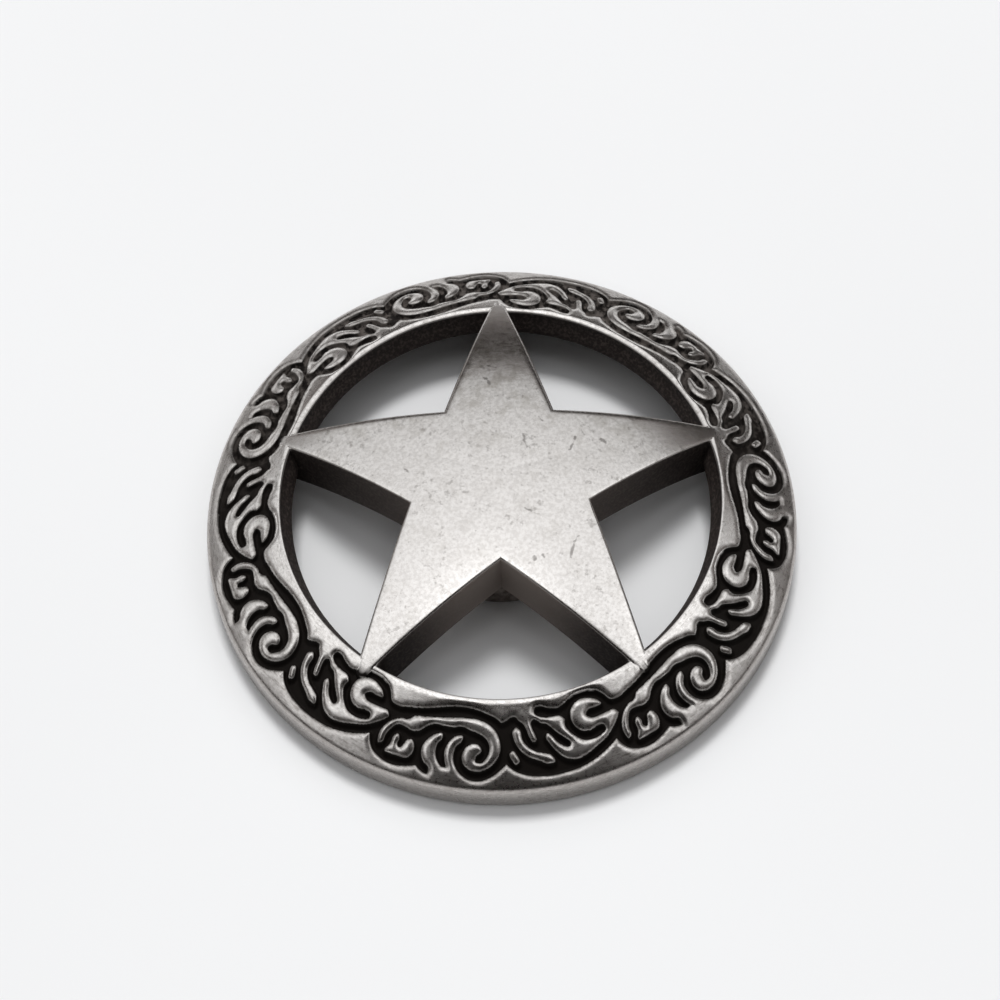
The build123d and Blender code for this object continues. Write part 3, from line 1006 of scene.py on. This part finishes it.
# %% [markdown]
# ## Scratches
# The photographed star carries a dozen short scratches. Random ones would be less work, but these
# catch the eye, so each is charted with its two ends and its width. In the nodes a scratch is the
# distance to a straight line, and some noise makes it wander and its edge ragged.

# %% Casting: the star's scratches
SCRATCHES = [  # x and y of both ends and the width, in millimetres
    (1.48, 2.77, 1.68, 1.79, 0.13), (4.80, 2.58, 4.43, 1.65, 0.08), (4.75, -4.30, 4.28, -5.67, 0.10),
    (1.51, -2.53, 1.94, -2.80, 0.11), (2.04, -5.73, 2.13, -5.86, 0.14), (2.57, -5.53, 2.74, -5.78, 0.10),
    (5.20, 3.14, 5.32, 2.84, 0.12), (6.44, 2.55, 6.69, 2.35, 0.11), (-5.89, 0.47, -5.70, 0.31, 0.12),
    (-0.96, 7.45, -0.57, 6.83, 0.11), (2.51, 4.10, 2.69, 3.72, 0.09), (-0.70, 8.42, -0.25, 8.22, 0.10),
]
SCRATCH_GREY = (0.22, 0.205, 0.19, 1)
WANDER = 0.40
RAGGEDNESS = 0.05
wander = nodes.vectors("SUBTRACT", nodes.noise(place, 1500, 3, output="Color"), (0.5, 0.5, 0.5))
wander = nodes.vectors("MULTIPLY", wander, (WANDER * MM, WANDER * MM, 0))
on_plan = nodes.vectors("ADD", level, wander)
ragged = nodes.ramp(pitting, 0.40, 0.60, RAGGEDNESS * MM, -RAGGEDNESS * MM)
scratched = 0.0
for x, y, end_x, end_y, width in SCRATCHES:
    run = Vector((end_x - x, end_y - y, 0)) * MM
    from_start = nodes.vectors("SUBTRACT", on_plan, (x * MM, y * MM, 0))
    along = nodes.vectors("DOT_PRODUCT", from_start, run / run.length_squared)
    along = nodes.ramp(along, 0.0, 1.0, kind="LINEAR")
    nearest = nodes.add("VectorMath", {0: run, "Scale": along}, operation="SCALE").outputs["Vector"]
    gap = nodes.maths("ADD", nodes.vectors("DISTANCE", from_start, nearest), ragged)
    scratched = nodes.maths("MAXIMUM", scratched, nodes.zone(gap, width, width * 0.1, 0.0, 0.62))
bright = nodes.mix(scratched, bright, SCRATCH_GREY)
print("scratches:", len(SCRATCHES))

# %% [markdown]
# ## Colours of the dark metal
# The black on the real concho is not even. The side walls are a dull brown, and near the star's
# middle, most towards the front, they are painted a lighter brown: painted light on the walls that
# face the camera. The recess is deep black at the front and turns lighter, in pale blotches, towards
# the far side. One black would be simpler, but it would hide the form of the walls.

# %% Casting: rim, side walls and recess
RIM_GREY = (0.30, 0.275, 0.26, 1)
DARK_BROWN = (0.036, 0.029, 0.027, 1)
PALE_BROWN = (0.085, 0.071, 0.064, 1)
# painted light: a lighter brown for the side walls that face the front
LIT_WALL_BROWN = (0.38, 0.33, 0.30, 1)
DEEP_BLACK = (0.013, 0.0105, 0.009, 1)
FAR_BLACK = (0.015, 0.0125, 0.0115, 1)
PALE_BLOTCH = (0.115, 0.102, 0.094, 1)
rim_side = nodes.zone(from_axis, 17.3, 18.6, 0.0, 0.40)
rim_side = nodes.maths("ADD", rim_side, nodes.zone(from_axis, 18.74, 18.95, 0.0, 0.30))
bright = nodes.mix(rim_side, bright, RIM_GREY)
speckle = nodes.ramp(nodes.noise(place, 5200, 3, 0.6), 0.42, 0.68)
# painted light: the side walls turn a lighter brown near the star's middle, most towards the front
painted_front_light = nodes.zone(from_axis, 7.0, 12.5, 0.75, 0.0)
painted_front_light = nodes.maths("MULTIPLY", painted_front_light, nodes.zone(axes["Y"], -6, 0, 1.0, 0.25))
brown = nodes.mix(painted_front_light, nodes.mix(speckle, DARK_BROWN, PALE_BROWN), LIT_WALL_BROWN)
# the recess black turns lighter, in pale blotches, towards the far side
far_recess_black = nodes.mix(nodes.ramp(blotches, 0.42, 0.60), FAR_BLACK, PALE_BLOTCH)
recess_black = nodes.mix(nodes.zone(axes["Y"], -2, 15), DEEP_BLACK, far_recess_black)
wall_only = nodes.ramp(nodes.maths("SUBTRACT", side_wall, recess), 0.0, 0.6)
black = nodes.mix(wall_only, recess_black, brown)
print("with the dark colours:", len(antiqued.node_tree.nodes), "nodes")

# %% [markdown]
# ## Shader
# Where the plating shows, the surface is metal, and where the black lies it is a dull coat. Two
# shaders could be mixed, but one is enough: the dark areas steer its colour, its metallic share and
# its roughness together. A weak bump lets the pits catch the light.

# %% Casting: feed the shader
PIT_DEPTH = 0.014
nodes.feed(shader.inputs["Base Color"], nodes.mix(dark, bright, black))
nodes.feed(shader.inputs["Metallic"], nodes.ramp(dark, 0, 1, 1.0, 0.0))
shader.inputs["Specular IOR Level"].default_value = 0.2
rough = nodes.maths("ADD", nodes.ramp(grain, 0.35, 0.65, 0.17, 0.24), nodes.ramp(dark, 0, 1, 0, 0.3))
rough = nodes.maths("ADD", rough, nodes.zone(from_axis, 14.3, 14.9, 0, 0.10))
rough = nodes.maths("ADD", rough, nodes.maths("MULTIPLY", edge_wear, 0.16))
nodes.feed(shader.inputs["Roughness"], rough)
pits = nodes.add("Bump", {"Height": pitting, "Strength": 0.25, "Distance": PIT_DEPTH * MM})
nodes.feed(shader.inputs["Normal"], pits.outputs["Normal"])
casting.data.materials.clear()
casting.data.materials.append(antiqued)
print("material:", antiqued.name, "with", len(antiqued.node_tree.nodes), "nodes")

# %% [markdown]
# ## Post
# Behind the star's middle stands the post for the screw, and only its lower front edge shows. It
# could be modelled anew, but its CAD shape is enough, with a stained dark metal of its own.

# %% The post keeps its CAD shape
STAIN_DARK = (0.16, 0.13, 0.115, 1)
STAIN_PALE = (0.34, 0.30, 0.275, 1)
darkened, nodes, shader = new_material("darkened_post")
stain = nodes.noise(nodes.object_place(), 1500, 4, 0.6)
nodes.feed(shader.inputs["Base Color"], nodes.mix(nodes.ramp(stain, 0.40, 0.66), STAIN_DARK, STAIN_PALE))
nodes.feed(shader.inputs["Roughness"], nodes.ramp(stain, 0.35, 0.65, 0.50, 0.38))
shader.inputs["Metallic"].default_value = 0.6
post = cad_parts["screw_post"]
post.data.materials.clear()
post.data.materials.append(darkened)
print("post:", post.name, "with", darkened.name)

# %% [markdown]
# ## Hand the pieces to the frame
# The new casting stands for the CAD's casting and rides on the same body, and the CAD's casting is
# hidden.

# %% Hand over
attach(casting, "root")
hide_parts("concho_casting")
